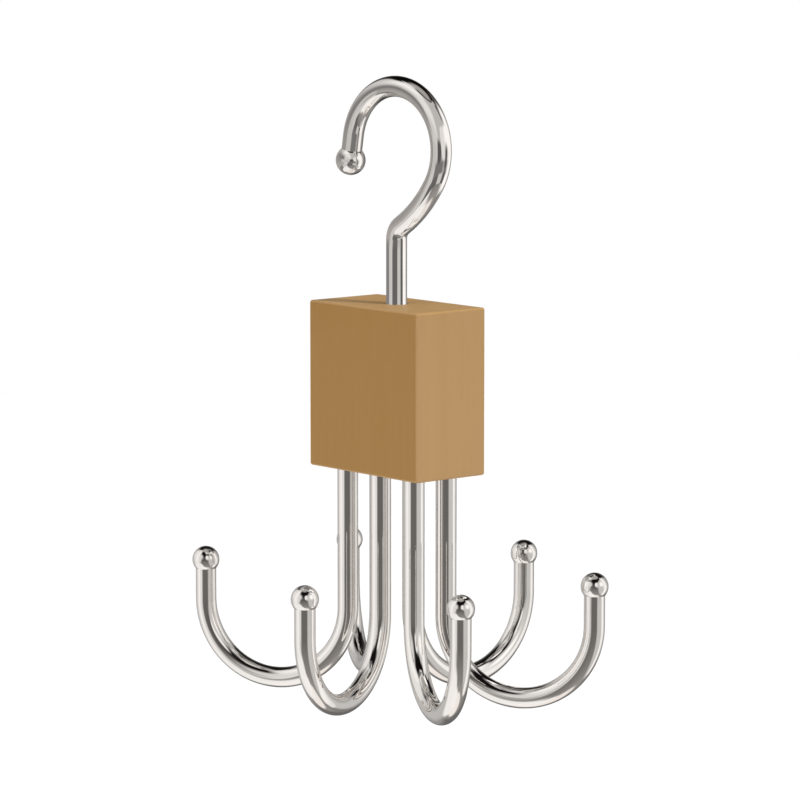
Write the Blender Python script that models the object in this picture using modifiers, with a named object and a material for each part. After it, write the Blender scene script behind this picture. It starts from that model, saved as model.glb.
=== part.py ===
"""Belt hanger: a wooden block with a swivelling hook above it and six belt hooks below it.

Metres, +Z up. The origin is where a hanging rail touches the inside of the top hook. The block's width
runs along X and its wide front face looks along -Y.
"""

import math

import bmesh
import bpy

# Wire, fit and cutter sizes
WIRE_DIAMETER = 0.005
CLEARANCE = 0.0003
CUTTER_OVERRUN = 0.001
END_CHAMFER = 0.0005

# Wooden block
BLOCK_WIDTH = 0.040
BLOCK_DEPTH = 0.0214
BLOCK_HEIGHT = 0.0401
BLOCK_EDGE_RADIUS = 0.0006
BLOCK_DROP = 0.0493

# Hanging hook: a loop, a wider sweep below it, a tight bend and a stem whose shank turns in the block
LOOP_INNER_DIAMETER = 0.0244
SWEEP_RADIUS = 0.034
SWEEP_START = math.radians(33)
NECK_BEND_RADIUS = 0.004
TIP_STRAIGHT = 0.0060
TIP_ANGLE = math.radians(9)
HOOK_HEADING = math.radians(185.5)
HOOK_BALL_PROUD = 0.0011

# Groove round the shank, and the pin through the block that lies in it
GROOVE_DEPTH = 0.0009
GROOVE_FLANK = 0.0002
PIN_DIAMETER = 0.0016
PIN_DROP = 0.0105
PIN_REACH = 0.0060
SHANK_FOOT = 0.0055

# Belt hooks, six alike, standing in two rows of three
ARM_COLUMN_PITCH = 0.0124
ARM_ROW_PITCH = 0.0100
ARM_HOLE_DEPTH = 0.012
ARM_LEG = 0.0345
ARM_BEND_RADIUS = 0.0186
ARM_TIP_RISE = 0.0095
ARM_BALL_PROUD = 0.0008

# Seat between a wire's end and its ball
SPIGOT_SHOULDER = 0.0012
SPIGOT_LENGTH = 0.0022
SHOULDER_CHAMFER = 0.0002

# Each belt hook's name, its column and row as shares of the pitches, and its heading from +X in degrees
ARM_SHARES = (
    ("left_front", -1, -1 / 2, 210),
    ("middle_front", 0, -1 / 2, -68),
    ("right_front", 1, -1 / 2, -23.5),
    ("left_back", -1, 1 / 2, 152),
    ("middle_back", 0, 1 / 2, 92),
    ("right_back", 1, 1 / 2, 30),
)

# Facets
WIRE_BEVEL_RESOLUTION = 6
LOOP_STEPS = 25
SWEEP_STEPS = 6
NECK_STEPS = 7
ARM_STEPS = 18
BALL_STEPS = 20
BALL_ARC_STEPS = 9
HOLE_SIDES = 24
PIN_SIDES = 12
EDGE_SEGMENTS = 3
SHARP_ANGLE = math.radians(30)

# Finishes as linear colour, metallic and roughness
WOOD = ((0.40, 0.225, 0.09), 0, 0.55)
CHROME = ((0.80, 0.78, 0.76), 1, 0.08)
PIN_STEEL = ((0.42, 0.41, 0.40), 1, 0.35)

WIRE_RADIUS = WIRE_DIAMETER / 2
LOOP_RADIUS = LOOP_INNER_DIAMETER / 2 + WIRE_RADIUS
LOOP_CENTRE_Z = -LOOP_INNER_DIAMETER / 2
SWEEP_SPREAD = SWEEP_RADIUS - LOOP_RADIUS
BLOCK_TOP_Z = -BLOCK_DROP
SHANK_HOLE_DEPTH = PIN_DROP + SHANK_FOOT + CLEARANCE
GROOVE_ROOT_RADIUS = WIRE_RADIUS - GROOVE_DEPTH
GROOVE_HALF_WIDTH = PIN_DIAMETER / 2 + CLEARANCE
PIN_OFFSET = GROOVE_ROOT_RADIUS + CLEARANCE + PIN_DIAMETER / 2
SPIGOT_RADIUS = WIRE_RADIUS - SPIGOT_SHOULDER
QUARTER_TURN = math.pi / 2
HALF_TURN = math.pi


def clear_scene():
    for obj in list(bpy.data.objects):
        bpy.data.objects.remove(obj)


def make_collection(name):
    collection = bpy.data.collections.new(name)
    bpy.context.scene.collection.children.link(collection)
    return collection


def make_material(name, finish):
    """A Principled material of one finish."""
    colour, metallic, roughness = finish
    material = bpy.data.materials.new(name)
    material.use_nodes = True
    shader = material.node_tree.nodes["Principled BSDF"]
    shader.inputs["Base Color"].default_value = (*colour, 1)
    shader.inputs["Metallic"].default_value = metallic
    shader.inputs["Roughness"].default_value = roughness
    material.diffuse_color = (*colour, 1)
    return material


def add_object(name, data, collection, parent=None, location=(0, 0, 0), rotation=(0, 0, 0)):
    """An object in the collection, placed and turned in its parent's frame."""
    obj = bpy.data.objects.new(name, data)
    obj.parent = parent
    obj.location = location
    obj.rotation_euler = rotation
    collection.objects.link(obj)
    return obj


def arc(centre, radius, start, stop, steps):
    """Points (x, z) on an arc from one angle to another, both ends included."""
    angles = [start + (stop - start) * step / steps for step in range(steps + 1)]
    return [
        (centre[0] + radius * math.cos(angle), centre[1] + radius * math.sin(angle))
        for angle in angles
    ]


def along(start, direction, distance):
    """The point (x, z) that lies a distance from start."""
    return (start[0] + direction[0] * distance, start[1] + direction[1] * distance)


def full_size(points):
    """Stations (x, z, radius) of plain wire through points (x, z)."""
    return [(x, z, WIRE_RADIUS) for x, z in points]


def ball_seat(proud):
    """How far below its centre a ball is cut flat, at the width of the wire."""
    return math.sqrt((WIRE_RADIUS + proud) ** 2 - WIRE_RADIUS**2)


def spigot(ball_centre, outward, proud):
    """Stations of a wire's end: its shoulder just short of the ball's flat, then the thin spigot."""
    shoulder = -ball_seat(proud) - CLEARANCE
    ends = (
        (shoulder, WIRE_RADIUS),
        (shoulder + SHOULDER_CHAMFER, SPIGOT_RADIUS),
        (shoulder + SPIGOT_LENGTH, SPIGOT_RADIUS),
    )
    return [(*along(ball_centre, outward, place), radius) for place, radius in ends]


def wire_curve(name, stations, material):
    """A round wire in the XZ plane through stations (x, z, radius), with closed ends."""
    curve = bpy.data.curves.new(name, "CURVE")
    curve.dimensions = "3D"
    curve.bevel_depth = WIRE_RADIUS
    curve.bevel_resolution = WIRE_BEVEL_RESOLUTION
    curve.use_fill_caps = True
    spline = curve.splines.new("POLY")
    spline.points.add(len(stations) - 1)
    for point, (x, z, radius) in zip(spline.points, stations, strict=True):
        point.co = (x, 0, z, 1)
        point.radius = radius / WIRE_RADIUS
    spline.use_smooth = True
    curve.materials.append(material)
    return curve


def ball_profile(name, proud, material):
    """Half the outline of a ball that is cut flat below and bored for the wire's spigot."""
    seat = ball_seat(proud)
    bore = SPIGOT_RADIUS + CLEARANCE
    bore_top = SPIGOT_LENGTH - seat
    seat_angle = -math.atan2(seat, WIRE_RADIUS)
    outline = arc((0, 0), WIRE_RADIUS + proud, QUARTER_TURN, seat_angle, BALL_ARC_STEPS)
    outline += [(bore, -seat), (bore, bore_top), (0, bore_top)]
    links = [(index, index + 1) for index in range(len(outline) - 1)]
    mesh = bpy.data.meshes.new(name)
    mesh.from_pydata([(x, 0, z) for x, z in outline], links, [])
    mesh.materials.append(material)
    return mesh


def add_ball(name, profile, collection, wire, location, rotation=(0, 0, 0)):
    """A ball turned about its own Z axis and carried on the end of a wire."""
    ball = add_object(name, profile, collection, wire, location, rotation)
    screw = ball.modifiers.new("Turned", "SCREW")
    screw.axis = "Z"
    screw.steps = BALL_STEPS
    screw.render_steps = BALL_STEPS
    screw.use_merge_vertices = True
    screw.merge_threshold = CLEARANCE / BALL_STEPS
    screw.use_smooth_shade = True
    return ball


def rod_mesh(name, radius, top, bottom, sides):
    """A round rod about Z from top down to bottom."""
    mesh = bpy.data.meshes.new(name)
    bm = bmesh.new()
    bmesh.ops.create_cone(
        bm,
        cap_ends=True,
        segments=sides,
        radius1=radius,
        radius2=radius,
        depth=top - bottom,
    )
    bmesh.ops.translate(bm, verts=bm.verts, vec=(0, 0, (top + bottom) / 2))
    bm.to_mesh(mesh)
    bm.free()
    mesh.shade_smooth()
    mesh.set_sharp_from_angle(angle=SHARP_ANGLE)
    return mesh


def drill(block, cutters, name, radius, depth, location, rotation=(0, 0, 0)):
    """A hole in the block, that deep along the cutter's own -Z from its place on a face."""
    mesh = rod_mesh(name, radius, CUTTER_OVERRUN, -depth, HOLE_SIDES)
    cutter = add_object(name, mesh, cutters, block, location, rotation)
    cutter.hide_render = True
    cutter.display_type = "WIRE"
    cut = block.modifiers.new(name, "BOOLEAN")
    cut.operation = "DIFFERENCE"
    cut.solver = "EXACT"
    cut.object = cutter


def arm_place(column, row):
    """Where a belt hook's stem leaves the underside, in the block's frame."""
    return (column * ARM_COLUMN_PITCH, row * ARM_ROW_PITCH, -BLOCK_HEIGHT / 2)


def pin_place(inset):
    """The pin's outer end, that far inside the block's back face, in the block's frame."""
    return (PIN_OFFSET, BLOCK_DEPTH / 2 - inset, BLOCK_HEIGHT / 2 - PIN_DROP)


def add_block(collection, cutters, wood):
    """The block, with its edges eased and a hole for the shank, the pin and each belt hook."""
    mesh = bpy.data.meshes.new("wood_block")
    bm = bmesh.new()
    bmesh.ops.create_cube(bm, size=1)
    bmesh.ops.scale(bm, verts=bm.verts, vec=(BLOCK_WIDTH, BLOCK_DEPTH, BLOCK_HEIGHT))
    bm.to_mesh(mesh)
    bm.free()
    mesh.materials.append(wood)
    block = add_object(
        "wood_block", mesh, collection, location=(0, 0, BLOCK_TOP_Z - BLOCK_HEIGHT / 2)
    )
    edges = block.modifiers.new("Eased edges", "BEVEL")
    edges.width = BLOCK_EDGE_RADIUS
    edges.segments = EDGE_SEGMENTS
    hole = WIRE_RADIUS + CLEARANCE
    drill(block, cutters, "shank_hole", hole, SHANK_HOLE_DEPTH, (0, 0, BLOCK_HEIGHT / 2))
    for name, column, row, _ in ARM_SHARES:
        place = arm_place(column, row)
        drill(block, cutters, f"hole_{name}", hole, ARM_HOLE_DEPTH, place, (HALF_TURN, 0, 0))
    drill(
        block,
        cutters,
        "pin_hole",
        PIN_DIAMETER / 2 + CLEARANCE,
        BLOCK_DEPTH / 2 + PIN_REACH + CLEARANCE,
        pin_place(0),
        (-QUARTER_TURN, 0, 0),
    )
    return block


def shank_stations():
    """The shank inside the block, from its chamfered foot up past the groove."""
    pin_z = BLOCK_TOP_Z - PIN_DROP
    foot_z = pin_z - SHANK_FOOT
    return [
        (0, foot_z, WIRE_RADIUS - END_CHAMFER),
        (0, foot_z + END_CHAMFER, WIRE_RADIUS),
        (0, pin_z - GROOVE_HALF_WIDTH - GROOVE_FLANK, WIRE_RADIUS),
        (0, pin_z - GROOVE_HALF_WIDTH, GROOVE_ROOT_RADIUS),
        (0, pin_z + GROOVE_HALF_WIDTH, GROOVE_ROOT_RADIUS),
        (0, pin_z + GROOVE_HALF_WIDTH + GROOVE_FLANK, WIRE_RADIUS),
    ]


def loop_line():
    """Points (x, z) up from the stem: the tight bend, the sweep and the loop, each tangent to the next."""
    sweep_centre = along((0, LOOP_CENTRE_Z), (math.cos(SWEEP_START), math.sin(SWEEP_START)), SWEEP_SPREAD)
    bend_reach = SWEEP_RADIUS + NECK_BEND_RADIUS
    slant = math.acos((sweep_centre[0] + NECK_BEND_RADIUS) / bend_reach)
    bend_centre = along(sweep_centre, (-math.cos(slant), -math.sin(slant)), bend_reach)
    neck = arc(bend_centre, NECK_BEND_RADIUS, 0, slant, NECK_STEPS)
    sweep = arc(sweep_centre, SWEEP_RADIUS, HALF_TURN + slant, HALF_TURN + SWEEP_START, SWEEP_STEPS)
    loop = arc((0, LOOP_CENTRE_Z), LOOP_RADIUS, HALF_TURN + SWEEP_START, TIP_ANGLE, LOOP_STEPS)
    return neck[:-1] + sweep[:-1] + loop


def add_hanging_hook(collection, chrome):
    """The hanging hook and its ball."""
    line = loop_line()
    outward = (math.sin(TIP_ANGLE), -math.cos(TIP_ANGLE))
    ball_centre = along(line[-1], outward, TIP_STRAIGHT)
    stations = (
        shank_stations()
        + full_size(line)
        + spigot(ball_centre, outward, HOOK_BALL_PROUD)
    )
    curve = wire_curve("hanging_hook", stations, chrome)
    hook = add_object("hanging_hook", curve, collection, rotation=(0, 0, HOOK_HEADING))
    profile = ball_profile("hanging_hook_ball", HOOK_BALL_PROUD, chrome)
    add_ball(
        "hanging_hook_ball",
        profile,
        collection,
        hook,
        (ball_centre[0], 0, ball_centre[1]),
        (0, HALF_TURN - TIP_ANGLE, 0),
    )


def add_pin(collection, block, steel):
    """The pin, driven in from the block's back face until its end lies just below the surface."""
    length = BLOCK_DEPTH / 2 - CLEARANCE + PIN_REACH
    mesh = rod_mesh("retaining_pin", PIN_DIAMETER / 2, 0, -length, PIN_SIDES)
    mesh.materials.append(steel)
    place = pin_place(CLEARANCE)
    add_object("retaining_pin", mesh, collection, block, place, (-QUARTER_TURN, 0, 0))


def add_arms(collection, block, chrome):
    """The belt hooks and their balls: a straight leg, half a circle and a short rise to the ball."""
    top = ARM_HOLE_DEPTH - CLEARANCE
    bend = arc((ARM_BEND_RADIUS, -ARM_LEG), ARM_BEND_RADIUS, HALF_TURN, 2 * HALF_TURN, ARM_STEPS)
    ball_centre = along(bend[-1], (0, 1), ARM_TIP_RISE)
    stations = (
        [(0, top, WIRE_RADIUS - END_CHAMFER), (0, top - END_CHAMFER, WIRE_RADIUS)]
        + full_size(bend)
        + spigot(ball_centre, (0, 1), ARM_BALL_PROUD)
    )
    curve = wire_curve("belt_hook", stations, chrome)
    profile = ball_profile("belt_hook_ball", ARM_BALL_PROUD, chrome)
    for name, column, row, degrees in ARM_SHARES:
        place = arm_place(column, row)
        turn = (0, 0, math.radians(degrees))
        arm = add_object(f"belt_hook_{name}", curve, collection, block, place, turn)
        add_ball(f"ball_{name}", profile, collection, arm, (ball_centre[0], 0, ball_centre[1]))


def main():
    clear_scene()
    hanger = make_collection("belt_hanger")
    cutters = make_collection("cutters")
    wood = make_material("wood", WOOD)
    chrome = make_material("chrome", CHROME)
    pin_steel = make_material("pin_steel", PIN_STEEL)
    block = add_block(hanger, cutters, wood)
    add_hanging_hook(hanger, chrome)
    add_pin(hanger, block, pin_steel)
    add_arms(hanger, block, chrome)


main()
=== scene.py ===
"""Finishes the belt hanger: a polished wire hook, six polished belt hooks, turned balls and an oiled block.

Metres, +Z up. The packed frame gives the places of the block and the pin. The wires are drawn as they are
bent on a bench: a ring run straight, bent round a former and run straight again. Polished wire shows little
but the room round it, so the studio has a room of soft panels that only the metal mirrors.
"""

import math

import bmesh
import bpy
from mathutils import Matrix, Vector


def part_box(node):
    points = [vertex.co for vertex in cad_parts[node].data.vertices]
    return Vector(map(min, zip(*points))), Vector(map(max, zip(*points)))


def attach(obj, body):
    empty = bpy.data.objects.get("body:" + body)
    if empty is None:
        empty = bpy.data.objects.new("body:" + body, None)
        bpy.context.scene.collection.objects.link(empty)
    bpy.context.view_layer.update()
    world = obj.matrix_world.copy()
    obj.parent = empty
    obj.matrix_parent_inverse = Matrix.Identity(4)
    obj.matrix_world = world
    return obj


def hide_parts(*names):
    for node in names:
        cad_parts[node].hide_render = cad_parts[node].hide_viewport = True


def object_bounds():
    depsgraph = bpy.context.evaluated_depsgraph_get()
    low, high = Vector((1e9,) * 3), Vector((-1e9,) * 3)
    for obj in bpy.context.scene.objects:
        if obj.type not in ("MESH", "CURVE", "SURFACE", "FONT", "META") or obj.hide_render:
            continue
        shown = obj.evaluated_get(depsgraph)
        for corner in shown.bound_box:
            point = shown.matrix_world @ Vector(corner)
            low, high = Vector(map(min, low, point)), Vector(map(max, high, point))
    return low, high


bl_info = {
    "name": "Belt Hanger",
    "version": (1, 0, 0),
    "blender": (4, 5, 0),
    "location": "3D View > Sidebar > Belt Hanger",
    "description": "Builds the finished belt hanger and the studio that it is shown in",
    "category": "Add Mesh",
}

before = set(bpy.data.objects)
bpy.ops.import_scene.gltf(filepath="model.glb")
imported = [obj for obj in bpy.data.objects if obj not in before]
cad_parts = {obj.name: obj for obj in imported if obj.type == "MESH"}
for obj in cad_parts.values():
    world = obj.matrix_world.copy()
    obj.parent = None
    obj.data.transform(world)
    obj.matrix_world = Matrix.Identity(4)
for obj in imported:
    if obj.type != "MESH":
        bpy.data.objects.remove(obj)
cad_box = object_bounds()

MILLIMETRE = 0.001
QUARTER_TURN = math.pi / 2
HALF_TURN = math.pi
FULL_TURN = 2 * math.pi

# Each belt hook's name, its column and row as shares of the pitches, and its heading from +X in degrees
ARM_SHARES = (
    ("left_front", -1, -1 / 2, 210),
    ("middle_front", 0, -1 / 2, -68),
    ("right_front", 1, -1 / 2, -23.5),
    ("left_back", -1, 1 / 2, 152),
    ("middle_back", 0, 1 / 2, 92),
    ("right_back", 1, 1 / 2, 30),
)

# How finely the surfaces are divided
WIRE_SIDES = 56
BEND_STEP = math.radians(3)
RUN_STEP = 1.5 * MILLIMETRE
BALL_STEPS = 64
BALL_ARC_STEP = math.radians(4.5)
HOLE_SIDES = 64
PIN_SIDES = 40
PIN_EDGE_SEGMENTS = 3
BLOCK_EDGE_SEGMENTS = 6
SLEEVE_SIDES = 180
FLOOR_SIDES = 128
SHARP_ANGLE = math.radians(28)
WELD_DISTANCE = 0.001 * MILLIMETRE
CUTTER_OVERRUN = 0.5 * MILLIMETRE

# Patterns in the finishes: how fine each one is, in lumps to a metre
HAZE_SCALE = 160
POLISH_SCALE = 420
RIPPLE_SCALE = 110
BAND_SCALE = 170
FIBRE_SCALE = 1500
PORE_SCALE = 3200
DRAWN_LINE_SCALE = 5000

# How far each pattern is drawn out along the grain of the wood or along the pin
BAND_STRETCH = (1, 1, 0.025)
FIBRE_STRETCH = (1, 1, 0.02)
PORE_STRETCH = (1, 1, 0.05)
DRAWN_LINE_STRETCH = (1, 0.03, 1)

# Between which values of its pattern each tone comes in
HAZE_STEP = (0.45, 0.75)
POLISH_STEP = (0.3, 0.8)
FIGURE_STEP = (0.34, 0.66)
PORE_STEP = (0.68, 0.82)
FIBRE_STEP = (0.3, 0.7)
DRAWN_LINE_STEP = (0.3, 0.7)

# The late wood is mixed from these shares of wide bands and fine fibres
BAND_SHARE = 0.55
FIBRE_SHARE = 0.45

# How high a fibre stands beside the depth of a pore
FIBRE_LIFT = 0.5

# Where a face's own colour is full, as a share of the depth to which it reaches
CUT_FULL = 1 / 8

# Between which heights of a direction the plain light changes from the light below to that of the room
PLAIN_LIGHT_STEP = (-1, 0.3)

BLOCK_LOW, BLOCK_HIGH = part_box("wood_block")
PIN_LOW, PIN_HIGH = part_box("retaining_pin")


def length(name, description, default):
    """A setting in metres that can't be less than nothing."""
    return bpy.props.FloatProperty(
        name=name, description=description, default=default, unit="LENGTH", precision=5, min=0
    )


def angle(name, description, degrees):
    """A setting shown in degrees and kept in radians."""
    return bpy.props.FloatProperty(
        name=name, description=description, default=math.radians(degrees), subtype="ANGLE"
    )


def offset(name, description, default):
    """A setting in metres that can be to either side."""
    return bpy.props.FloatProperty(
        name=name, description=description, default=default, unit="LENGTH", precision=5
    )


def share(name, description, default):
    """A setting that is a plain number."""
    return bpy.props.FloatProperty(name=name, description=description, default=default, min=0)


def colour(name, description, default):
    """A setting that is a linear colour."""
    return bpy.props.FloatVectorProperty(
        name=name, description=description, default=default, subtype="COLOR", min=0, max=1
    )


class WireSizes(bpy.types.PropertyGroup):
    """Sizes of the wire and of the seats at its ends."""

    diameter: length("Wire diameter", "Diameter of every hook's wire", 0.005)
    fit: length("Fit", "Gap between a wire and the hole that it stands in", 0.0001)
    chamfer: length("End chamfer", "Chamfer on a wire's hidden end", 0.0005)
    shoulder: length("Shoulder", "Depth of the step down to the spigot in a ball", 0.0012)
    spigot: length("Spigot", "Length of the thin end that goes into a ball", 0.0022)


class SwivelHookSizes(bpy.types.PropertyGroup):
    """Sizes of the hook that hangs on the rail."""

    inner_diameter: length("Inner diameter", "Rail that the loop passes over", 0.0244)
    sweep_radius: length("Sweep radius", "Radius of the wider sweep below the loop", 0.034)
    sweep_start: angle("Sweep start", "Where the loop opens into the sweep, below the horizontal", 33)
    neck_bend: length("Neck bend", "Radius of the tight bend between the sweep and the stem", 0.004)
    tip_run: length("Tip run", "Straight end between the loop and the ball's centre", 0.0060)
    tip_angle: angle("Tip angle", "Where the loop's arc ends, above the horizontal", 9)
    heading: angle("Heading", "Direction in which the tip points, from +X", 185.5)
    ball_proud: length("Ball proud", "How far the ball stands out past the wire", 0.0011)
    shank_foot: length("Shank foot", "Length of the shank below the middle of its groove", 0.0055)
    foot_play: length("Foot play", "Gap between the shank's foot and the bottom of its hole", 0.00025)
    groove_depth: length("Groove depth", "Depth of the groove that the pin lies in", 0.0009)
    groove_flank: length("Groove flank", "Width of each sloping side of the groove", 0.0002)
    groove_play: length("Groove play", "Gap between the pin and each side of the groove", 0.0003)


class BeltHookSizes(bpy.types.PropertyGroup):
    """Sizes that the six belt hooks share."""

    column_pitch: length("Column pitch", "Distance between stems along the block", 0.0124)
    row_pitch: length("Row pitch", "Distance between the two rows of stems", 0.0100)
    hole_depth: length("Hole depth", "Depth of the hole that each stem stands in", 0.012)
    end_play: length("End play", "Gap between a stem's end and the bottom of its hole", 0.0003)
    leg: length("Leg", "Straight stem below the block", 0.0345)
    bend: length("Bend", "Radius of the half circle", 0.0186)
    tip_rise: length("Tip rise", "Straight rise from the half circle to the ball's centre", 0.0095)
    ball_proud: length("Ball proud", "How far each ball stands out past the wire", 0.0008)


class BlockSizes(bpy.types.PropertyGroup):
    """Sizes of the wooden block that its packed box doesn't give."""

    edge_radius: length("Edge radius", "Rounding of the block's edges", 0.0006)
    rim: length("Hole rim", "Chamfer round the mouth of each hole", 0.00015)
    pin_chamfer: length("Pin chamfer", "Rounding of the pin's ends", 0.00016)


class Finishes(bpy.types.PropertyGroup):
    """Colours and polish of the three finishes."""

    wood_face: colour("Wood face", "The wide faces, cut along the rings", (0.318, 0.169, 0.044))
    # The side and end colours are painted light: paler copies of the face colour, for the key light and
    # sheen on those faces.
    wood_side_painted_lit: colour("Wood side", "The narrow sides, cut across the rings", (0.382, 0.231, 0.096))
    wood_ends_painted_lit: colour("Wood end", "The top and the underside", (0.475, 0.281, 0.108))
    # The worn edge colour is partly rubbed wear and partly a painted highlight along the eased edges.
    wood_worn_and_highlit: colour("Worn edge", "Eased edges, where the oil is rubbed thin", (0.440, 0.270, 0.116))
    wood_dark: colour("Dark wood", "Late wood, along the fibres", (0.262, 0.132, 0.036))
    wood_pore: colour("Wood pore", "Fine open pores that run with the grain", (0.190, 0.092, 0.026))
    wood_figure: share("Wood figure", "How strongly the late wood shows", 0.12)
    wood_pores: share("Wood pores", "How strongly the pores show", 0.22)
    # How strongly that painted highlight and wear show on the eased edges.
    wood_wear_and_highlight: share("Wood wear", "How far the eased edges are rubbed", 0.6)
    wood_cut_depth: length("Cut depth", "How far in from a face its own colour reaches", 0.0006)
    wood_relief: length("Wood relief", "Height of the fibres that stand out of the oil", 0.00006)
    wood_relief_strength: share("Wood relief strength", "How strongly those fibres catch the light", 0.2)
    wood_roughness: share("Wood roughness", "How matte the oiled wood is", 0.50)
    wood_unevenness: share("Wood unevenness", "How much more matte the dullest wood is", 0.10)
    wood_shine: share("Wood shine", "How much of the room the oiled wood mirrors", 0.35)
    chrome: colour("Chrome", "Reflected colour of the plating", (0.897, 0.868, 0.842))
    chrome_haze: colour("Chrome haze", "Colour where the plating is hazed", (0.867, 0.838, 0.812))
    chrome_roughness: share("Chrome roughness", "Polish of the plating", 0.022)
    chrome_unevenness: share("Chrome unevenness", "How many times rougher the dullest plating is", 1.8)
    chrome_ripple: length("Chrome ripple", "Height of the faint waves in the polish", 0.0002)
    chrome_ripple_strength: share("Ripple strength", "How strongly those waves bend what is mirrored", 0.08)
    steel: colour("Pin steel", "Colour of the drawn steel pin", (0.420, 0.410, 0.400))
    steel_line: share("Steel lines", "Brightness of the drawn lines beside the rest of the pin", 0.8)
    steel_roughness: share("Steel roughness", "Polish of the drawn steel pin", 0.35)
    steel_unevenness: share("Steel unevenness", "How much rougher the drawn lines are", 0.15)


class StudioSettings(bpy.types.PropertyGroup):
    """Camera, lamps and surroundings."""

    heading: angle("Camera heading", "Direction of the picture's right side, from +X", 49.97)
    elevation: angle("Camera elevation", "How far the camera looks down", 7.59)
    distance: length("Camera distance", "From the camera to the block's middle", 1.007)
    aim_right: offset("Aim right", "How far right of the middle the block stands", -0.00081)
    aim_up: offset("Aim up", "How far above the middle the block stands", 0.00313)
    lens: share("Lens", "Focal length in millimetres on a 36 mm sensor", 189.4)
    floor_drop: length("Floor drop", "Depth of the floor below the hanger", 0.45)
    floor_radius: length("Floor radius", "Radius of the floor", 4.0)
    floor: colour("Floor", "Colour of the floor", (0.96, 0.96, 0.96))
    room_light: share("Room light", "Light that reaches the hanger from above and the sides", 0.50)
    under_light: share("Under light", "Light that reaches the hanger from straight below", 0.20)
    key_heading: angle("Key heading", "Where the key light comes from, from +X", 22)
    key_elevation: angle("Key elevation", "Height of the key light", 36)
    key_spread: angle("Key spread", "Apparent size of the key light", 9)
    key_light: share("Key light", "Strength of the key light on a wall that faces it", 0.70)
    fill_heading: angle("Fill heading", "Where the fill light comes from, from +X", -100)
    fill_elevation: angle("Fill elevation", "Height of the fill light", 20)
    fill_spread: angle("Fill spread", "Apparent size of the fill light", 60)
    fill_light: share("Fill light", "Strength of the fill light on a wall that faces it", 0.44)
    wall_tint: colour("Wall tint", "Tint of the dim walls that the metal mirrors", (1.000, 0.955, 0.915))
    panel_tint: colour("Panel tint", "Tint of the lit panels that the metal mirrors", (1.000, 0.985, 0.970))
    panel_light: share("Panel light", "Strength of the lit panels", 1.03)
    sleeve_radius: length("Sleeve radius", "Radius of the ring of panels round the swivel hook", 0.05)


# What polished metal sees from floor to ceiling: elevation in degrees, and how bright it is there
ROOM_LEVELS = (
    (-90, 0.97),
    (-68, 0.95),
    (-64, 0.34),
    (-50, 0.26),
    (-30, 0.215),
    (-20, 0.185),
    (-10, 0.15),
    (0, 0.115),
    (20, 0.092),
    (30, 0.038),
    (38, 0.018),
    (46, 0.007),
    (66, 0.004),
    (74, 0.38),
    (90, 0.44),
)

# Soft panels, back to front: left and right edge, lower and upper edge, radius of the corners, width of the
# soft edge, and how bright. Angles are in degrees, from the camera towards the picture's right.
PANELS = (
    ("back", 142, 218, -60, 24, 24, 14, 0.15),
    ("left_far", -172, -56, -50, 26, 22, 18, 0.30),
    ("left_wall", -158, -38, -46, 43, 42, 22, 0.52),
    ("left_low", -116, -49, -48, -2, 16, 8, 0.78),
    ("left_step", -112, -40, -12, 16, 6, 5, 0.80),
    ("left_panel", -138, -25, 4, 41, 18, 20, 0.72),
    ("left_top", -126, -52, -14, 71, 36, 22, 0.83),
    ("left_core", -92, -68, -28, 54, 11, 18, 0.98),
    ("sweep", -135, -26, -144, -25, 34, 15, 0.94),
    ("sweep_toe", -100, 0, -110, -56, 24, 10, 0.98),
    ("right_far", 99, 151, -26, 31, 20, 10, 0.38),
    ("right_wall", 28, 130, -54, 51, 48, 14, 0.58),
    ("right_upper", 8, 76, -2, 40, 18, 18, 0.64),
    ("right_top", 37, 104, 15, 52, 18, 12, 0.62),
    ("window", 1, 22, 7, 38, 9, 8, 0.92),
    ("lamp", 43, 78, 6, 36, 15, 13, 1.06),
    ("shoulder", 98, 126, -2, 48, 12, 6, 0.56),
    ("strip_top", 75, 106, -13, 60, 14, 12, 0.865),
    ("strip", 98, 118, -48, 4, 9, 4, 0.84),
    ("strip_core", 83, 109, -53, 50, 10, 7, 0.98),
)

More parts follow.
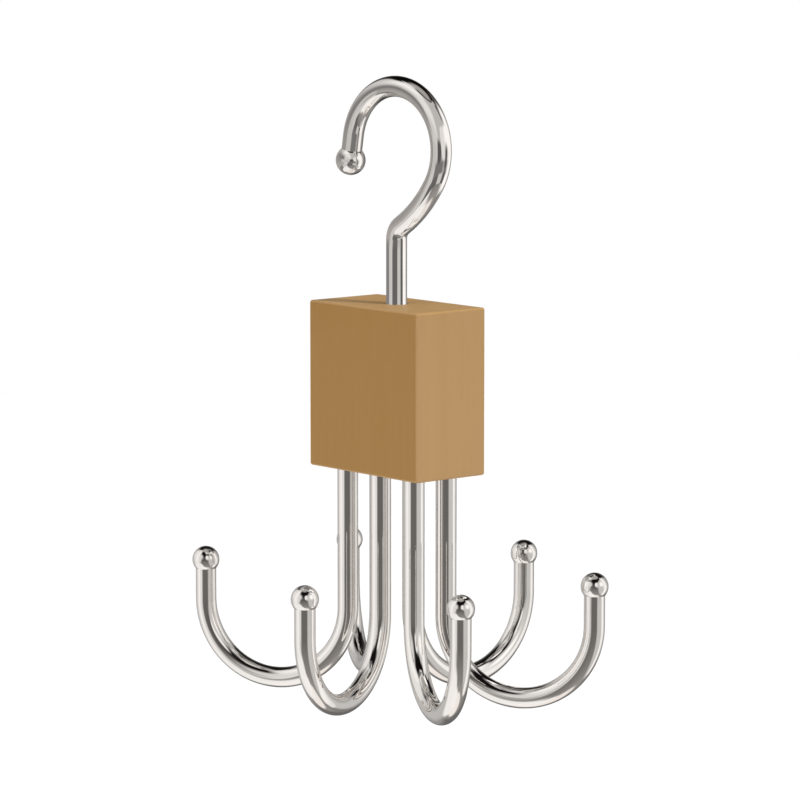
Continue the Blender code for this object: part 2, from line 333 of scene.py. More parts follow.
# The same for the ring of panels that stands round the swivel hook, with heights in millimetres
SLEEVE_LEVELS = (
    (-58, 0.283),
    (-50, 0.478),
    (-14, 0.391),
    (4, 0.415),
    (14, 0.212),
    (22, 0.021),
    (30, 0.066),
    (38, 0.004),
    (88, 0.003),
)
SLEEVE_PANELS = (
    ("front_top", -92, 81, -6, 145, 4, 8, 0.515),
    ("left_wall", -142, -9, -12, 61, 36, 19, 0.636),
    ("left_top", -103, -33, 27, 83, 21, 39, 0.967),
    ("left_near", -58, -12, -49, 44, 23, 17, 0.819),
    ("left_low", -72, -9, -133, 7, 31, 14, 0.656),
    ("left_dark", -130, -69, -16, 12, 14, 28, 0.236),
    ("left_band", -102, -68, -7, 6, 6, 11, 0.212),
    ("left_light", -87, -35, -25, -11, 2, 2, 0.576),
    ("left_limb", -213, -167, -63, -15, 15, 22, 0.030),
    ("left_edge", -147, -90, -63, -39, 12, 3, 0.249),
    ("front_low", -37, 33, -55, -23, 4, 8, 0.192),
    ("front_band", 12, 101, -23, 14, 18, 5, 0.790),
    ("front_lamp", 45, 97, -13, 14, 13, 11, 1.038),
    ("right_low", 10, 33, -54, -41, 2, 3, 0.553),
    ("right_line", 41, 86, -75, -32, 21, 9, 0.139),
    ("right_thin", 44, 63, -34, -8, 6, 12, 0.093),
    ("low_right", 96, 166, -53, -22, 15, 30, 0.385),
    ("tongue", -22, 13, -26, -5, 10, 7, 0.104),
    ("right_dark", 58, 132, 20, 62, 7, 13, 0.099),
    ("right_white", 73, 114, -69, 41, 20, 26, 1.043),
    ("right_edge", 132, 172, -43, 1, 20, 21, 0.194),
    ("stem_edge", -157, -88, -70, -39, 6, 5, 0.24),
    ("stem_left", -88, -47, -70, -39, 4, 4, 0.63),
    ("stem_front", -47, 8, -70, -39, 4, 4, 0.14),
    ("stem_lamp", 8, 43, -70, -39, 4, 4, 0.61),
    ("stem_line", 43, 70, -70, -39, 4, 4, 0.12),
    ("stem_white", 70, 116, -70, -39, 4, 4, 1.06),
    ("stem_back", 116, 158, -70, -39, 6, 5, 0.32),
)


def settings(context, group):
    """One of the groups of settings that the sidebar shows."""
    return getattr(context.scene, group)


class NodeBench:
    """Adds nodes to one tree and links them as they are added."""

    def __init__(self, tree):
        self.tree = tree

    def add(self, kind, values=None, **options):
        """A node with its options set and its inputs linked, or set where they are plain values."""
        node = self.tree.nodes.new(kind)
        for option, value in options.items():
            setattr(node, option, value)
        for socket, value in (values or {}).items():
            self.feed(node.inputs[socket], value)
        return node

    def feed(self, socket, value):
        """Links a socket to another node's output, or sets it to a plain value."""
        if isinstance(value, bpy.types.NodeSocket):
            self.tree.links.new(value, socket)
        else:
            socket.default_value = value

    def maths(self, operation, *values):
        """One step of arithmetic on numbers."""
        node = self.add("ShaderNodeMath", dict(enumerate(values)), operation=operation)
        return node.outputs["Value"]

    def vector_maths(self, operation, *values):
        """One step of arithmetic on vectors."""
        node = self.add("ShaderNodeVectorMath", dict(enumerate(values)), operation=operation)
        return node.outputs["Vector"]

    def scale(self, value, low, high):
        """A straight scale from 0 at low to 1 at high."""
        sockets = {"Value": value, "From Min": low, "From Max": high}
        return self.add("ShaderNodeMapRange", sockets).outputs["Result"]

    def smooth(self, value, low, high, to_low=0.0, to_high=1.0):
        """A soft step from to_low at low to to_high at high."""
        sockets = {"Value": value, "From Min": low, "From Max": high, "To Min": to_low, "To Max": to_high}
        return self.add("ShaderNodeMapRange", sockets, interpolation_type="SMOOTHSTEP").outputs["Result"]

    def blend(self, factor, first, second, kind="MIX"):
        """One colour over another."""
        node = self.add("ShaderNodeMix", data_type="RGBA", blend_type=kind)
        for socket, value in (("Factor", factor), ("A", first), ("B", second)):
            self.feed(next(item for item in node.inputs if item.name == socket and item.enabled), value)
        return next(item for item in node.outputs if item.enabled)

    def apart(self, coordinates):
        """The three parts of a vector."""
        return self.add("ShaderNodeSeparateXYZ", {"Vector": coordinates}).outputs

    def panel(self, across, up, size, corner, softness):
        """1 inside a panel with round corners and soft edges, and 0 outside it."""
        place = self.add("ShaderNodeCombineXYZ", {"X": across, "Y": up}).outputs["Vector"]
        flat = [side / 2 - corner for side in size]
        beyond = self.vector_maths("SUBTRACT", self.vector_maths("ABSOLUTE", place), (*flat, 0))
        beyond = self.vector_maths("MAXIMUM", beyond, (0, 0, 0))
        reach = self.add("ShaderNodeVectorMath", {0: beyond}, operation="LENGTH").outputs["Value"]
        return self.smooth(reach, corner + softness / 2, corner - softness / 2)

    def noise(self, coordinates, scale, stretch=None, detail=2.0, roughness=0.5):
        """A soft pattern, drawn out along an axis where its stretch is less than 1."""
        if stretch:
            mapping = self.add("ShaderNodeMapping", {"Vector": coordinates, "Scale": stretch})
            coordinates = mapping.outputs["Vector"]
        sockets = {"Vector": coordinates, "Scale": scale, "Detail": detail, "Roughness": roughness}
        return self.add("ShaderNodeTexNoise", sockets).outputs["Fac"]

    def bump(self, height, strength, distance):
        """Fine relief in the way that the surface catches the light."""
        sockets = {"Height": height, "Strength": strength, "Distance": distance}
        return self.add("ShaderNodeBump", sockets).outputs["Normal"]


def solid(rgb):
    """A colour with its alpha, as a colour socket takes it."""
    return (*rgb, 1)


def new_finish(name):
    """A node material, with its bench, its Principled shader and the piece's own coordinates."""
    made = bpy.data.materials.new(name)
    made.use_nodes = True
    bench = NodeBench(made.node_tree)
    shader = made.node_tree.nodes["Principled BSDF"]
    coordinates = bench.add("ShaderNodeTexCoord").outputs["Object"]
    return made, bench, shader, coordinates


def chrome_finish(finishes):
    """Bright plating over polished wire: faint haze, and a polish that is never quite even."""
    made, bench, shader, coordinates = new_finish("polished_chrome")
    haze = bench.smooth(bench.noise(coordinates, HAZE_SCALE, detail=3), *HAZE_STEP)
    tone = bench.blend(haze, solid(finishes.chrome), solid(finishes.chrome_haze))
    polish = bench.noise(coordinates, POLISH_SCALE)
    dullest = finishes.chrome_roughness * finishes.chrome_unevenness
    rough = bench.smooth(polish, *POLISH_STEP, finishes.chrome_roughness, dullest)
    ripple = bench.noise(coordinates, RIPPLE_SCALE, detail=1)
    bump = bench.bump(ripple, finishes.chrome_ripple_strength, finishes.chrome_ripple)
    bench.feed(shader.inputs["Base Color"], tone)
    bench.feed(shader.inputs["Roughness"], rough)
    bench.feed(shader.inputs["Normal"], bump)
    shader.inputs["Metallic"].default_value = 1
    return made


def wood_finish(finishes):
    """Fine straight grain along Z. Sides and ends are painted paler as painted light; eased edges get a
    painted highlight, partly wear.
    """
    made, bench, shader, coordinates = new_finish("oiled_wood")
    middle = (BLOCK_LOW + BLOCK_HIGH) / 2
    half = (BLOCK_HIGH - BLOCK_LOW) / 2
    cut = finishes.wood_cut_depth
    centred = bench.vector_maths("SUBTRACT", coordinates, middle)
    axes = bench.apart(bench.vector_maths("ABSOLUTE", centred))
    side, front, end = (
        bench.smooth(axes[axis], reach - cut, reach - cut * CUT_FULL)
        for axis, reach in zip("XYZ", half, strict=True)
    )
    bands = bench.noise(coordinates, BAND_SCALE, BAND_STRETCH)
    fibres = bench.noise(coordinates, FIBRE_SCALE, FIBRE_STRETCH, detail=3, roughness=0.6)
    pores = bench.noise(coordinates, PORE_SCALE, PORE_STRETCH, detail=1)
    # Painted light: the sides and the ends take paler copies of the face colour, for the key light and sheen
    # on them.
    face = bench.blend(side, solid(finishes.wood_face), solid(finishes.wood_side_painted_lit))
    face = bench.blend(end, face, solid(finishes.wood_ends_painted_lit))
    # Painted highlight, partly rubbed wear, where the wide faces meet the sides and the ends.
    highlit_worn_edges = bench.maths("MULTIPLY", bench.maths("MAXIMUM", side, end), front)
    highlit_wear = bench.maths("MULTIPLY", highlit_worn_edges, finishes.wood_wear_and_highlight)
    face = bench.blend(highlit_wear, face, solid(finishes.wood_worn_and_highlit))
    wide = bench.maths("MULTIPLY", bands, BAND_SHARE)
    tone = bench.maths("ADD", wide, bench.maths("MULTIPLY", fibres, FIBRE_SHARE))
    depth = bench.smooth(tone, *FIGURE_STEP, 0.0, finishes.wood_figure)
    body = bench.blend(depth, face, solid(finishes.wood_dark))
    pore = bench.smooth(pores, *PORE_STEP, 0.0, finishes.wood_pores)
    shade = bench.blend(pore, body, solid(finishes.wood_pore))
    height = bench.maths("SUBTRACT", bench.maths("MULTIPLY", fibres, FIBRE_LIFT), pore)
    bump = bench.bump(height, finishes.wood_relief_strength, finishes.wood_relief)
    dullest = finishes.wood_roughness + finishes.wood_unevenness
    rough = bench.smooth(fibres, *FIBRE_STEP, finishes.wood_roughness, dullest)
    bench.feed(shader.inputs["Base Color"], shade)
    bench.feed(shader.inputs["Roughness"], rough)
    bench.feed(shader.inputs["Normal"], bump)
    shader.inputs["Specular IOR Level"].default_value = finishes.wood_shine
    return made


def steel_finish(finishes):
    """Drawn steel, with fine lines along the pin."""
    made, bench, shader, coordinates = new_finish("pin_steel")
    lines = bench.noise(coordinates, DRAWN_LINE_SCALE, DRAWN_LINE_STRETCH)
    dark = [finishes.steel_line * channel for channel in finishes.steel]
    tone = bench.blend(bench.smooth(lines, *DRAWN_LINE_STEP), solid(finishes.steel), solid(dark))
    dullest = finishes.steel_roughness + finishes.steel_unevenness
    rough = bench.smooth(lines, *DRAWN_LINE_STEP, finishes.steel_roughness, dullest)
    bench.feed(shader.inputs["Base Color"], tone)
    bench.feed(shader.inputs["Roughness"], rough)
    shader.inputs["Metallic"].default_value = 1
    return made


def ring_of(verts):
    """The edges that join these vertices to one another, in the order of the vertices."""
    edges = dict.fromkeys(edge for vert in verts for edge in vert.link_edges)
    ring = set(verts)
    return [edge for edge in edges if ring.issuperset(edge.verts)]


def verts_of(edges):
    """The vertices at these edges' ends, in the order of the edges."""
    return list(dict.fromkeys(vert for edge in edges for vert in edge.verts))


def start_wire(bm, height, radius):
    """The first ring of a wire, level, on the Z axis."""
    place = Matrix.Translation((0, 0, height))
    made = bmesh.ops.create_circle(bm, segments=WIRE_SIDES, radius=radius, matrix=place)
    return ring_of(made["verts"])


def step_wire(bm, ring, move, widen=1.0):
    """The next ring: the last one moved on, and made wider or narrower by a ratio."""
    made = bmesh.ops.extrude_edge_only(bm, edges=ring)
    verts = [item for item in made["geom"] if isinstance(item, bmesh.types.BMVert)]
    bmesh.ops.translate(bm, verts=verts, vec=move)
    centre = sum((vert.co for vert in verts), Vector()) / len(verts)
    bmesh.ops.scale(bm, verts=verts, vec=Vector((widen,) * 3), space=Matrix.Translation(-centre))
    return ring_of(verts)


def run_wire(bm, ring, direction, distance):
    """A straight run, in short steps so that its shading stays true beside a bend."""
    steps = max(1, math.ceil(distance / RUN_STEP))
    for _ in range(steps):
        ring = step_wire(bm, ring, Vector(direction) * (distance / steps))
    return ring


def bend_wire(bm, ring, centre, axis, turn):
    """A bend round a centre, about an axis."""
    made = bmesh.ops.spin(
        bm,
        geom=ring + verts_of(ring),
        cent=centre,
        axis=axis,
        angle=turn,
        steps=math.ceil(turn / BEND_STEP),
    )
    return ring_of([item for item in made["geom_last"] if isinstance(item, bmesh.types.BMVert)])


def close_wire(bm, ring):
    """A flat end over the last ring."""
    bmesh.ops.edgeloop_fill(bm, edges=ring)


def ball_seat(wire_radius, proud):
    """How far below its centre a ball is cut flat, at the width of the wire."""
    return math.sqrt((wire_radius + proud) ** 2 - wire_radius**2)


def seat_wire(bm, ring, wire, direction):
    """The stepped end that goes into a ball."""
    radius = wire.diameter / 2
    thin = (radius - wire.shoulder) / radius
    ring = step_wire(bm, ring, (0, 0, 0), thin)
    ring = step_wire(bm, ring, Vector(direction) * wire.spigot)
    close_wire(bm, ring)


def finish_mesh(bm, name, place=Matrix()):
    """A smooth mesh object at the origin, with its place in its mesh."""
    bmesh.ops.transform(bm, matrix=place, verts=bm.verts)
    bmesh.ops.remove_doubles(bm, verts=bm.verts, dist=WELD_DISTANCE)
    bmesh.ops.recalc_face_normals(bm, faces=bm.faces)
    mesh = bpy.data.meshes.new(name)
    bm.to_mesh(mesh)
    bm.free()
    mesh.shade_smooth()
    mesh.set_sharp_from_angle(angle=SHARP_ANGLE)
    piece = bpy.data.objects.new(name, mesh)
    bpy.context.scene.collection.objects.link(piece)
    return piece


def place_piece(piece, finish, body, node):
    """Gives a piece its finish and says which body it rides on and which node it replaces."""
    piece.data.materials.append(finish)
    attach(piece, body)
    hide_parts(node)


def shared_finish(context, name, make):
    """One material for all the pieces that share a finish."""
    return bpy.data.materials.get(name) or make(settings(context, "hanger_finishes"))


def turned_ball(name, wire, proud, place):
    """A ball turned from a profile, cut flat below and bored for the wire's thin end."""
    radius = wire.diameter / 2
    seat = ball_seat(radius, proud)
    bore = radius - wire.shoulder + wire.fit
    bore_top = wire.spigot - seat + wire.fit
    sweep = QUARTER_TURN + math.atan2(seat, radius)
    bm = bmesh.new()
    pole = bm.verts.new((0, 0, radius + proud))
    made = bmesh.ops.spin(
        bm,
        geom=[pole],
        cent=(0, 0, 0),
        axis=(0, 1, 0),
        angle=sweep,
        steps=math.ceil(sweep / BALL_ARC_STEP),
    )
    last = next(item for item in made["geom_last"] if isinstance(item, bmesh.types.BMVert))
    for corner in ((bore, 0, -seat), (bore, 0, bore_top), (0, 0, bore_top)):
        vert = bm.verts.new(corner)
        bm.edges.new((last, vert))
        last = vert
    bmesh.ops.spin(
        bm,
        geom=bm.verts[:] + bm.edges[:],
        cent=(0, 0, 0),
        axis=(0, 0, 1),
        angle=FULL_TURN,
        steps=BALL_STEPS,
        use_merge=True,
    )
    return finish_mesh(bm, name, place)


def belt_hook_place(hooks, column, row, degrees):
    """Where a belt hook enters the block's underside, turned to its heading."""
    spot = Matrix.Translation((column * hooks.column_pitch, row * hooks.row_pitch, BLOCK_LOW.z))
    return spot @ Matrix.Rotation(math.radians(degrees), 4, "Z")


def way_at(rise):
    """The direction that far above +X, in the plane of the swivel hook."""
    return Vector((math.cos(rise), 0, math.sin(rise)))


def swivel_centres(wire, hook):
    """The loop's radius, the middles of loop, sweep and tight bend, and how far the tight bend turns."""
    radius = (hook.inner_diameter + wire.diameter) / 2
    loop = Vector((0, 0, -hook.inner_diameter / 2))
    sweep = loop + way_at(hook.sweep_start) * (hook.sweep_radius - radius)
    reach = hook.sweep_radius + hook.neck_bend
    slant = math.acos((sweep.x + hook.neck_bend) / reach)
    return radius, loop, sweep, sweep - way_at(slant) * reach, slant


class HANGER_OT_swivel_hook(bpy.types.Operator):
    """Draws the hook that hangs on the rail, from its shank in the block to its ball"""

    bl_idname = "hanger.swivel_hook"
    bl_label = "Swivel Hook"

    def execute(self, context):
        wire = settings(context, "hanger_wire")
        hook = settings(context, "hanger_swivel_hook")
        radius = wire.diameter / 2
        loop_radius, loop, sweep, neck, slant = swivel_centres(wire, hook)
        tip_way = way_at(hook.tip_angle - QUARTER_TURN)
        ball = loop + way_at(hook.tip_angle) * loop_radius + tip_way * hook.tip_run
        pin_z = (PIN_LOW.z + PIN_HIGH.z) / 2
        half_groove = (PIN_HIGH.z - PIN_LOW.z) / 2 + hook.groove_play
        root = (radius - hook.groove_depth) / radius
        up = Vector((0, 0, 1))
        bm = bmesh.new()
        foot = start_wire(bm, pin_z - hook.shank_foot, radius - wire.chamfer)
        close_wire(bm, foot)
        ring = step_wire(bm, foot, up * wire.chamfer, radius / (radius - wire.chamfer))
        ring = step_wire(bm, ring, up * (hook.shank_foot - wire.chamfer - half_groove - hook.groove_flank))
        ring = step_wire(bm, ring, up * hook.groove_flank, root)
        ring = step_wire(bm, ring, up * 2 * half_groove)
        ring = step_wire(bm, ring, up * hook.groove_flank, 1 / root)
        ring = run_wire(bm, ring, up, neck.z - pin_z - half_groove - hook.groove_flank)
        ring = bend_wire(bm, ring, neck, (0, -1, 0), slant)
        ring = bend_wire(bm, ring, sweep, (0, 1, 0), slant - hook.sweep_start)
        ring = bend_wire(bm, ring, loop, (0, 1, 0), HALF_TURN + hook.sweep_start - hook.tip_angle)
        ring = run_wire(bm, ring, tip_way, hook.tip_run - ball_seat(radius, hook.ball_proud))
        seat_wire(bm, ring, wire, tip_way)
        turn = Matrix.Rotation(hook.heading, 4, "Z")
        piece = finish_mesh(bm, "polished_swivel_hook", turn)
        chrome = shared_finish(context, "polished_chrome", chrome_finish)
        place_piece(piece, chrome, "hook", "hanging_hook")
        tilt = Matrix.Rotation(HALF_TURN - hook.tip_angle, 4, "Y")
        place = turn @ Matrix.Translation(ball) @ tilt
        piece = turned_ball("turned_ball_swivel_hook", wire, hook.ball_proud, place)
        place_piece(piece, chrome, "hook", "hanging_hook_ball")
        return {"FINISHED"}


class HANGER_OT_belt_hooks(bpy.types.Operator):
    """Draws the six belt hooks and their balls"""

    bl_idname = "hanger.belt_hooks"
    bl_label = "Belt Hooks"

    def execute(self, context):
        wire = settings(context, "hanger_wire")
        hooks = settings(context, "hanger_belt_hooks")
        chrome = shared_finish(context, "polished_chrome", chrome_finish)
        radius = wire.diameter / 2
        down = Vector((0, 0, -1))
        sunk = hooks.hole_depth - hooks.end_play
        for name, column, row, degrees in ARM_SHARES:
            place = belt_hook_place(hooks, column, row, degrees)
            bm = bmesh.new()
            top = start_wire(bm, sunk, radius - wire.chamfer)
            close_wire(bm, top)
            ring = step_wire(bm, top, down * wire.chamfer, radius / (radius - wire.chamfer))
            ring = run_wire(bm, ring, down, sunk - wire.chamfer + hooks.leg)
            ring = bend_wire(bm, ring, (hooks.bend, 0, -hooks.leg), (0, -1, 0), HALF_TURN)
            ring = run_wire(bm, ring, -down, hooks.tip_rise - ball_seat(radius, hooks.ball_proud))
            seat_wire(bm, ring, wire, -down)
            piece = finish_mesh(bm, f"polished_belt_hook_{name}", place)
            place_piece(piece, chrome, "block", f"belt_hook_{name}")
            spot = place @ Matrix.Translation((2 * hooks.bend, 0, hooks.tip_rise - hooks.leg))
            piece = turned_ball(f"turned_ball_{name}", wire, hooks.ball_proud, spot)
            place_piece(piece, chrome, "block", f"ball_{name}")
        return {"FINISHED"}


def drill_bit(name, radius, depth, rim, place):
    """A cutter for a hole that deep along its own -Z, with a chamfer at the mouth."""
    bm = bmesh.new()
    made = bmesh.ops.create_circle(bm, segments=HOLE_SIDES, radius=radius)
    bmesh.ops.translate(bm, verts=bm.verts, vec=(0, 0, -depth))
    ring = ring_of(made["verts"])
    close_wire(bm, ring)
    ring = step_wire(bm, ring, (0, 0, depth - rim))
    ring = step_wire(bm, ring, (0, 0, 2 * rim), (radius + 2 * rim) / radius)
    ring = step_wire(bm, ring, (0, 0, CUTTER_OVERRUN))
    close_wire(bm, ring)
    cutter = finish_mesh(bm, name, place)
    cutter.hide_render = True
    return cutter


def drill(block, cutters):
    """Cuts the holes and keeps the result as the block's own mesh."""
    for cutter in cutters:
        cut = block.modifiers.new(cutter.name, "BOOLEAN")
        cut.operation = "DIFFERENCE"
        cut.solver = "EXACT"
        cut.object = cutter
    graph = bpy.context.evaluated_depsgraph_get()
    drilled = bpy.data.meshes.new_from_object(block.evaluated_get(graph))
    block.modifiers.clear()
    block.data = drilled
    for cutter in cutters:
        bpy.data.objects.remove(cutter)


class HANGER_OT_wood_block(bpy.types.Operator):
    """Shapes the wooden block, eases its edges and drills it for the wires and the pin"""

    bl_idname = "hanger.wood_block"
    bl_label = "Wood Block"

    def execute(self, context):
        wire = settings(context, "hanger_wire")
        hook = settings(context, "hanger_swivel_hook")
        hooks = settings(context, "hanger_belt_hooks")
        sizes = settings(context, "hanger_block")
        middle = (BLOCK_LOW + BLOCK_HIGH) / 2
        bm = bmesh.new()
        bmesh.ops.create_cube(bm, size=1)
        bmesh.ops.scale(bm, verts=bm.verts, vec=BLOCK_HIGH - BLOCK_LOW)
        bmesh.ops.bevel(
            bm,
            geom=bm.edges[:],
            offset=sizes.edge_radius,
            segments=BLOCK_EDGE_SEGMENTS,
            profile=0.5,
            affect="EDGES",
            material=-1,
        )
        piece = finish_mesh(bm, "oiled_block", Matrix.Translation(middle))
        hole = wire.diameter / 2 + wire.fit
        pin_middle = (PIN_LOW + PIN_HIGH) / 2
        shank_depth = BLOCK_HIGH.z - pin_middle.z + hook.shank_foot + hook.foot_play
        places = {
            "shank": (hole, shank_depth, Matrix.Translation((0, 0, BLOCK_HIGH.z))),
            "pin": (
                (PIN_HIGH.x - PIN_LOW.x) / 2 + wire.fit,
                BLOCK_HIGH.y - PIN_LOW.y + wire.fit,
                Matrix.Translation((pin_middle.x, BLOCK_HIGH.y, pin_middle.z))
                @ Matrix.Rotation(-QUARTER_TURN, 4, "X"),
            ),
        }
        flip = Matrix.Rotation(HALF_TURN, 4, "X")
        for name, column, row, degrees in ARM_SHARES:
            place = belt_hook_place(hooks, column, row, degrees) @ flip
            places[name] = (hole, hooks.hole_depth, place)
        bits = [
            drill_bit(f"bit_{name}", radius, depth, sizes.rim, place)
            for name, (radius, depth, place) in places.items()
        ]
        drill(piece, bits)
        piece.data.shade_smooth()
        piece.data.set_sharp_from_angle(angle=SHARP_ANGLE)
        shading = piece.modifiers.new("Flat faces", "WEIGHTED_NORMAL")
        shading.keep_sharp = True
        shading.weight = 100
        wood = shared_finish(context, "oiled_wood", wood_finish)
        place_piece(piece, wood, "block", "wood_block")
        piece.visible_glossy = False
        return {"FINISHED"}


class HANGER_OT_retaining_pin(bpy.types.Operator):
    """Turns the steel pin that keeps the shank in the block"""

    bl_idname = "hanger.retaining_pin"
    bl_label = "Retaining Pin"

    def execute(self, context):
        middle = (PIN_LOW + PIN_HIGH) / 2
        radius = (PIN_HIGH.x - PIN_LOW.x) / 2
        bm = bmesh.new()
        bmesh.ops.create_cone(
            bm,
            cap_ends=True,
            segments=PIN_SIDES,
            radius1=radius,
            radius2=radius,
            depth=PIN_HIGH.y - PIN_LOW.y,
        )
        bmesh.ops.bevel(
            bm,
            geom=[edge for edge in bm.edges if edge.calc_face_angle(0) > SHARP_ANGLE],
            offset=settings(context, "hanger_block").pin_chamfer,
            segments=PIN_EDGE_SEGMENTS,
            profile=0.5,
            affect="EDGES",
            material=-1,
        )
        turn = Matrix.Rotation(QUARTER_TURN, 4, "X")
        piece = finish_mesh(bm, "steel_pin", Matrix.Translation(middle) @ turn)
        steel = shared_finish(context, "pin_steel", steel_finish)
        place_piece(piece, steel, "block", "retaining_pin")
        return {"FINISHED"}


def studio_axes(studio):
    """The camera's right, forward and up directions."""
    turn, tip = studio.heading, studio.elevation
    right = Vector((math.cos(turn), math.sin(turn), 0))
    forward = Vector((-math.sin(turn) * math.cos(tip), math.cos(turn) * math.cos(tip), -math.sin(tip)))
    return right, forward, right.cross(forward)


def place_camera(studio):
    """Sets the camera at the photo's angle, far off with a long lens."""
    right, forward, up = studio_axes(studio)
    middle = (BLOCK_LOW + BLOCK_HIGH) / 2
    spot = middle - right * studio.aim_right - up * studio.aim_up - forward * studio.distance
    data = bpy.data.cameras.new("studio_camera")
    data.lens = studio.lens
    camera = bpy.data.objects.new("studio_camera", data)
    bpy.context.scene.collection.objects.link(camera)
    axes = Matrix((right, up, -forward)).transposed().to_4x4()
    camera.matrix_world = Matrix.Translation(spot) @ axes
    bpy.context.scene.camera = camera


def place_lamp(name, heading, elevation, spread, strength):
    """A far lamp whose light falls evenly. Strength 1 lights a white wall that faces it to white."""
    data = bpy.data.lights.new(name, "SUN")
    data.energy = strength * math.pi
    data.angle = spread
    lamp = bpy.data.objects.new(name, data)
    way = Matrix.Rotation(heading, 3, "Z") @ way_at(elevation)
    lamp.rotation_mode = "QUATERNION"
    lamp.rotation_quaternion = way.to_track_quat("Z", "Y")
    lamp.visible_glossy = False
    bpy.context.scene.collection.objects.link(lamp)


def towards(bench, vector, studio):
    """The azimuth of a direction, in degrees from the camera towards the picture's right."""
    sockets = {"Vector": vector, "Angle": -studio.heading}
    turned = bench.add("ShaderNodeVectorRotate", sockets, rotation_type="Z_AXIS").outputs["Vector"]
    axes = bench.apart(turned)
    ahead = bench.maths("MULTIPLY", axes["Y"], -1.0)
    return bench.maths("DEGREES", bench.maths("ARCTAN2", axes["X"], ahead))


def hang_panels(bench, studio, azimuth, height, levels, panels):
    """What stands at each azimuth and height: dim walls, and lit panels in front of them."""
    lowest, highest = levels[0][0], levels[-1][0]
    ramp = bench.add("ShaderNodeValToRGB", {"Fac": bench.scale(height, lowest, highest)})
    stops = ramp.color_ramp.elements
    while len(stops) < len(levels):
        stops.new(1)
    for stop, (place, level) in zip(stops, levels, strict=True):
        stop.position = (place - lowest) / (highest - lowest)
        stop.color = solid([level * part for part in studio.wall_tint])
    seen = ramp.outputs["Color"]
    for _, left, right, low, high, corner, softness, level in panels:
        across = bench.maths("WRAP", bench.maths("SUBTRACT", azimuth, (left + right) / 2), 180, -180)
        above = bench.maths("SUBTRACT", height, (low + high) / 2)
        inside = bench.panel(across, above, (right - left, high - low), corner, softness)
        lit = [studio.panel_light * level * part for part in studio.panel_tint]
        seen = bench.blend(inside, seen, solid(lit))
    return seen


def room_colour(bench, studio):
    """What polished metal sees: a room of soft panels round the hanger."""
    direction = bench.add("ShaderNodeTexCoord").outputs["Generated"]
    elevation = bench.maths("DEGREES", bench.maths("ARCSINE", bench.apart(direction)["Z"]))
    azimuth = towards(bench, direction, studio)
    return hang_panels(bench, studio, azimuth, elevation, ROOM_LEVELS, PANELS)


def hang_sleeve(studio):
    """A ring of panels that stands round the swivel hook. Only polished metal sees it; it lights nothing."""
    low, high = (height * MILLIMETRE for height in (SLEEVE_LEVELS[0][0], SLEEVE_LEVELS[-1][0]))
    bm = bmesh.new()
    place = Matrix.Translation((0, 0, low))
    ring = bmesh.ops.create_circle(bm, segments=SLEEVE_SIDES, radius=studio.sleeve_radius, matrix=place)
    step_wire(bm, ring_of(ring["verts"]), (0, 0, high - low))
    sleeve = finish_mesh(bm, "studio_sleeve")
    made, bench, _, coordinates = new_finish("studio_sleeve")
    azimuth = towards(bench, coordinates, studio)
    height = bench.maths("DIVIDE", bench.apart(coordinates)["Z"], MILLIMETRE)
    seen = hang_panels(bench, studio, azimuth, height, SLEEVE_LEVELS, SLEEVE_PANELS)
    glow = bench.add("ShaderNodeEmission", {"Color": seen})
    bench.feed(made.node_tree.nodes["Material Output"].inputs["Surface"], glow.outputs["Emission"])
    made.cycles.emission_sampling = "NONE"
    sleeve.data.materials.append(made)
    sleeve.visible_camera = False
    sleeve.visible_diffuse = False
    sleeve.visible_transmission = False
    sleeve.visible_volume_scatter = False
    sleeve.visible_shadow = False


def light_room(studio):
    """White behind everything, soft panels in the metal, and plain light that fades towards the floor."""
    world = bpy.data.worlds.new("studio_room")
    world.use_nodes = True
    bpy.context.scene.world = world
    bench = NodeBench(world.node_tree)
    path = bench.add("ShaderNodeLightPath").outputs
    height = bench.apart(bench.add("ShaderNodeTexCoord").outputs["Generated"])["Z"]
    rise = bench.smooth(height, *PLAIN_LIGHT_STEP)
    low, high = solid((studio.under_light,) * 3), solid((studio.room_light,) * 3)
    plain = bench.blend(rise, low, high)
    seen = bench.blend(path["Is Glossy Ray"], plain, room_colour(bench, studio))
    seen = bench.blend(path["Is Camera Ray"], seen, (1, 1, 1, 1))
    bench.feed(world.node_tree.nodes["Background"].inputs["Color"], seen)


def lay_floor(studio, depth):
    """A pale floor that catches the shadow, and that can be looked through from below."""
    bm = bmesh.new()
    bmesh.ops.create_circle(bm, cap_ends=True, segments=FLOOR_SIDES, radius=studio.floor_radius)
    floor = finish_mesh(bm, "studio_floor", Matrix.Translation((0, 0, depth)))
    made, bench, shader, _ = new_finish("studio_floor")
    bench.feed(shader.inputs["Base Color"], solid(studio.floor))
    shader.inputs["Roughness"].default_value = 1
    shader.inputs["Specular IOR Level"].default_value = 0
    from_below = bench.add("ShaderNodeNewGeometry").outputs["Backfacing"]
    clear = bench.add("ShaderNodeBsdfTransparent").outputs["BSDF"]
    mixed = bench.add("ShaderNodeMixShader", {0: from_below, 1: shader.outputs["BSDF"], 2: clear})
    bench.feed(made.node_tree.nodes["Material Output"].inputs["Surface"], mixed.outputs["Shader"])
    floor.data.materials.append(made)
    floor.visible_glossy = False


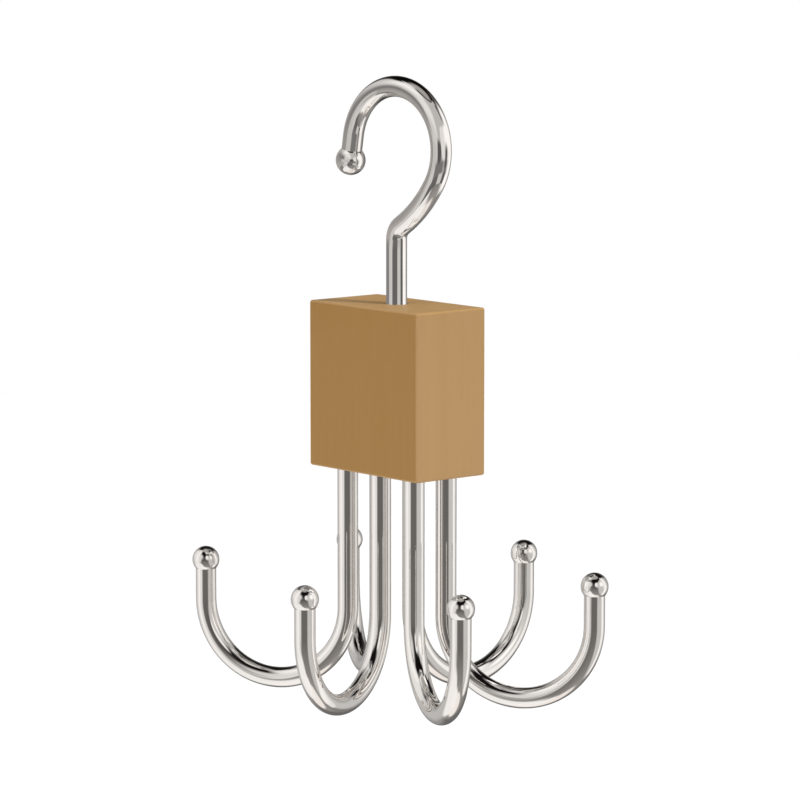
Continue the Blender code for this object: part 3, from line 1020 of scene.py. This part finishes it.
class HANGER_OT_studio(bpy.types.Operator):
    """Sets up the camera, the lamps, the pale floor and the soft white room"""

    bl_idname = "hanger.studio"
    bl_label = "Studio"

    def execute(self, context):
        studio = settings(context, "hanger_studio")
        context.scene.view_settings.view_transform = "Standard"
        place_camera(studio)
        light_room(studio)
        for lamp in ("key", "fill"):
            parts = [f"{lamp}_{part}" for part in ("heading", "elevation", "spread", "light")]
            place_lamp(f"{lamp}_lamp", *(getattr(studio, part) for part in parts))
        hang_sleeve(studio)
        lay_floor(studio, cad_box[0].z - studio.floor_drop)
        return {"FINISHED"}


class VIEW3D_PT_belt_hanger(bpy.types.Panel):
    """Lists the hanger's pieces and sizes"""

    bl_label = "Belt Hanger"
    bl_space_type = "VIEW_3D"
    bl_region_type = "UI"
    bl_category = "Belt Hanger"

    def draw(self, context):
        layout = self.layout
        for operator in OPERATORS:
            layout.operator(operator.bl_idname)
        for name, group in GROUPS.items():
            box = layout.box()
            box.label(text=group.__doc__)
            for prop in group.__annotations__:
                box.prop(settings(context, name), prop)


GROUPS = {
    "hanger_wire": WireSizes,
    "hanger_swivel_hook": SwivelHookSizes,
    "hanger_belt_hooks": BeltHookSizes,
    "hanger_block": BlockSizes,
    "hanger_finishes": Finishes,
    "hanger_studio": StudioSettings,
}
OPERATORS = (
    HANGER_OT_wood_block,
    HANGER_OT_retaining_pin,
    HANGER_OT_swivel_hook,
    HANGER_OT_belt_hooks,
    HANGER_OT_studio,
)
CLASSES = (*GROUPS.values(), *OPERATORS, VIEW3D_PT_belt_hanger)


def register():
    for cls in CLASSES:
        bpy.utils.register_class(cls)
    for name, group in GROUPS.items():
        setattr(bpy.types.Scene, name, bpy.props.PointerProperty(type=group))


def unregister():
    for name in GROUPS:
        delattr(bpy.types.Scene, name)
    for cls in reversed(CLASSES):
        bpy.utils.unregister_class(cls)


def main():
    register()
    bpy.ops.hanger.wood_block()
    bpy.ops.hanger.retaining_pin()
    bpy.ops.hanger.swivel_hook()
    bpy.ops.hanger.belt_hooks()
    bpy.ops.hanger.studio()


if __name__ == "__main__":
    main()
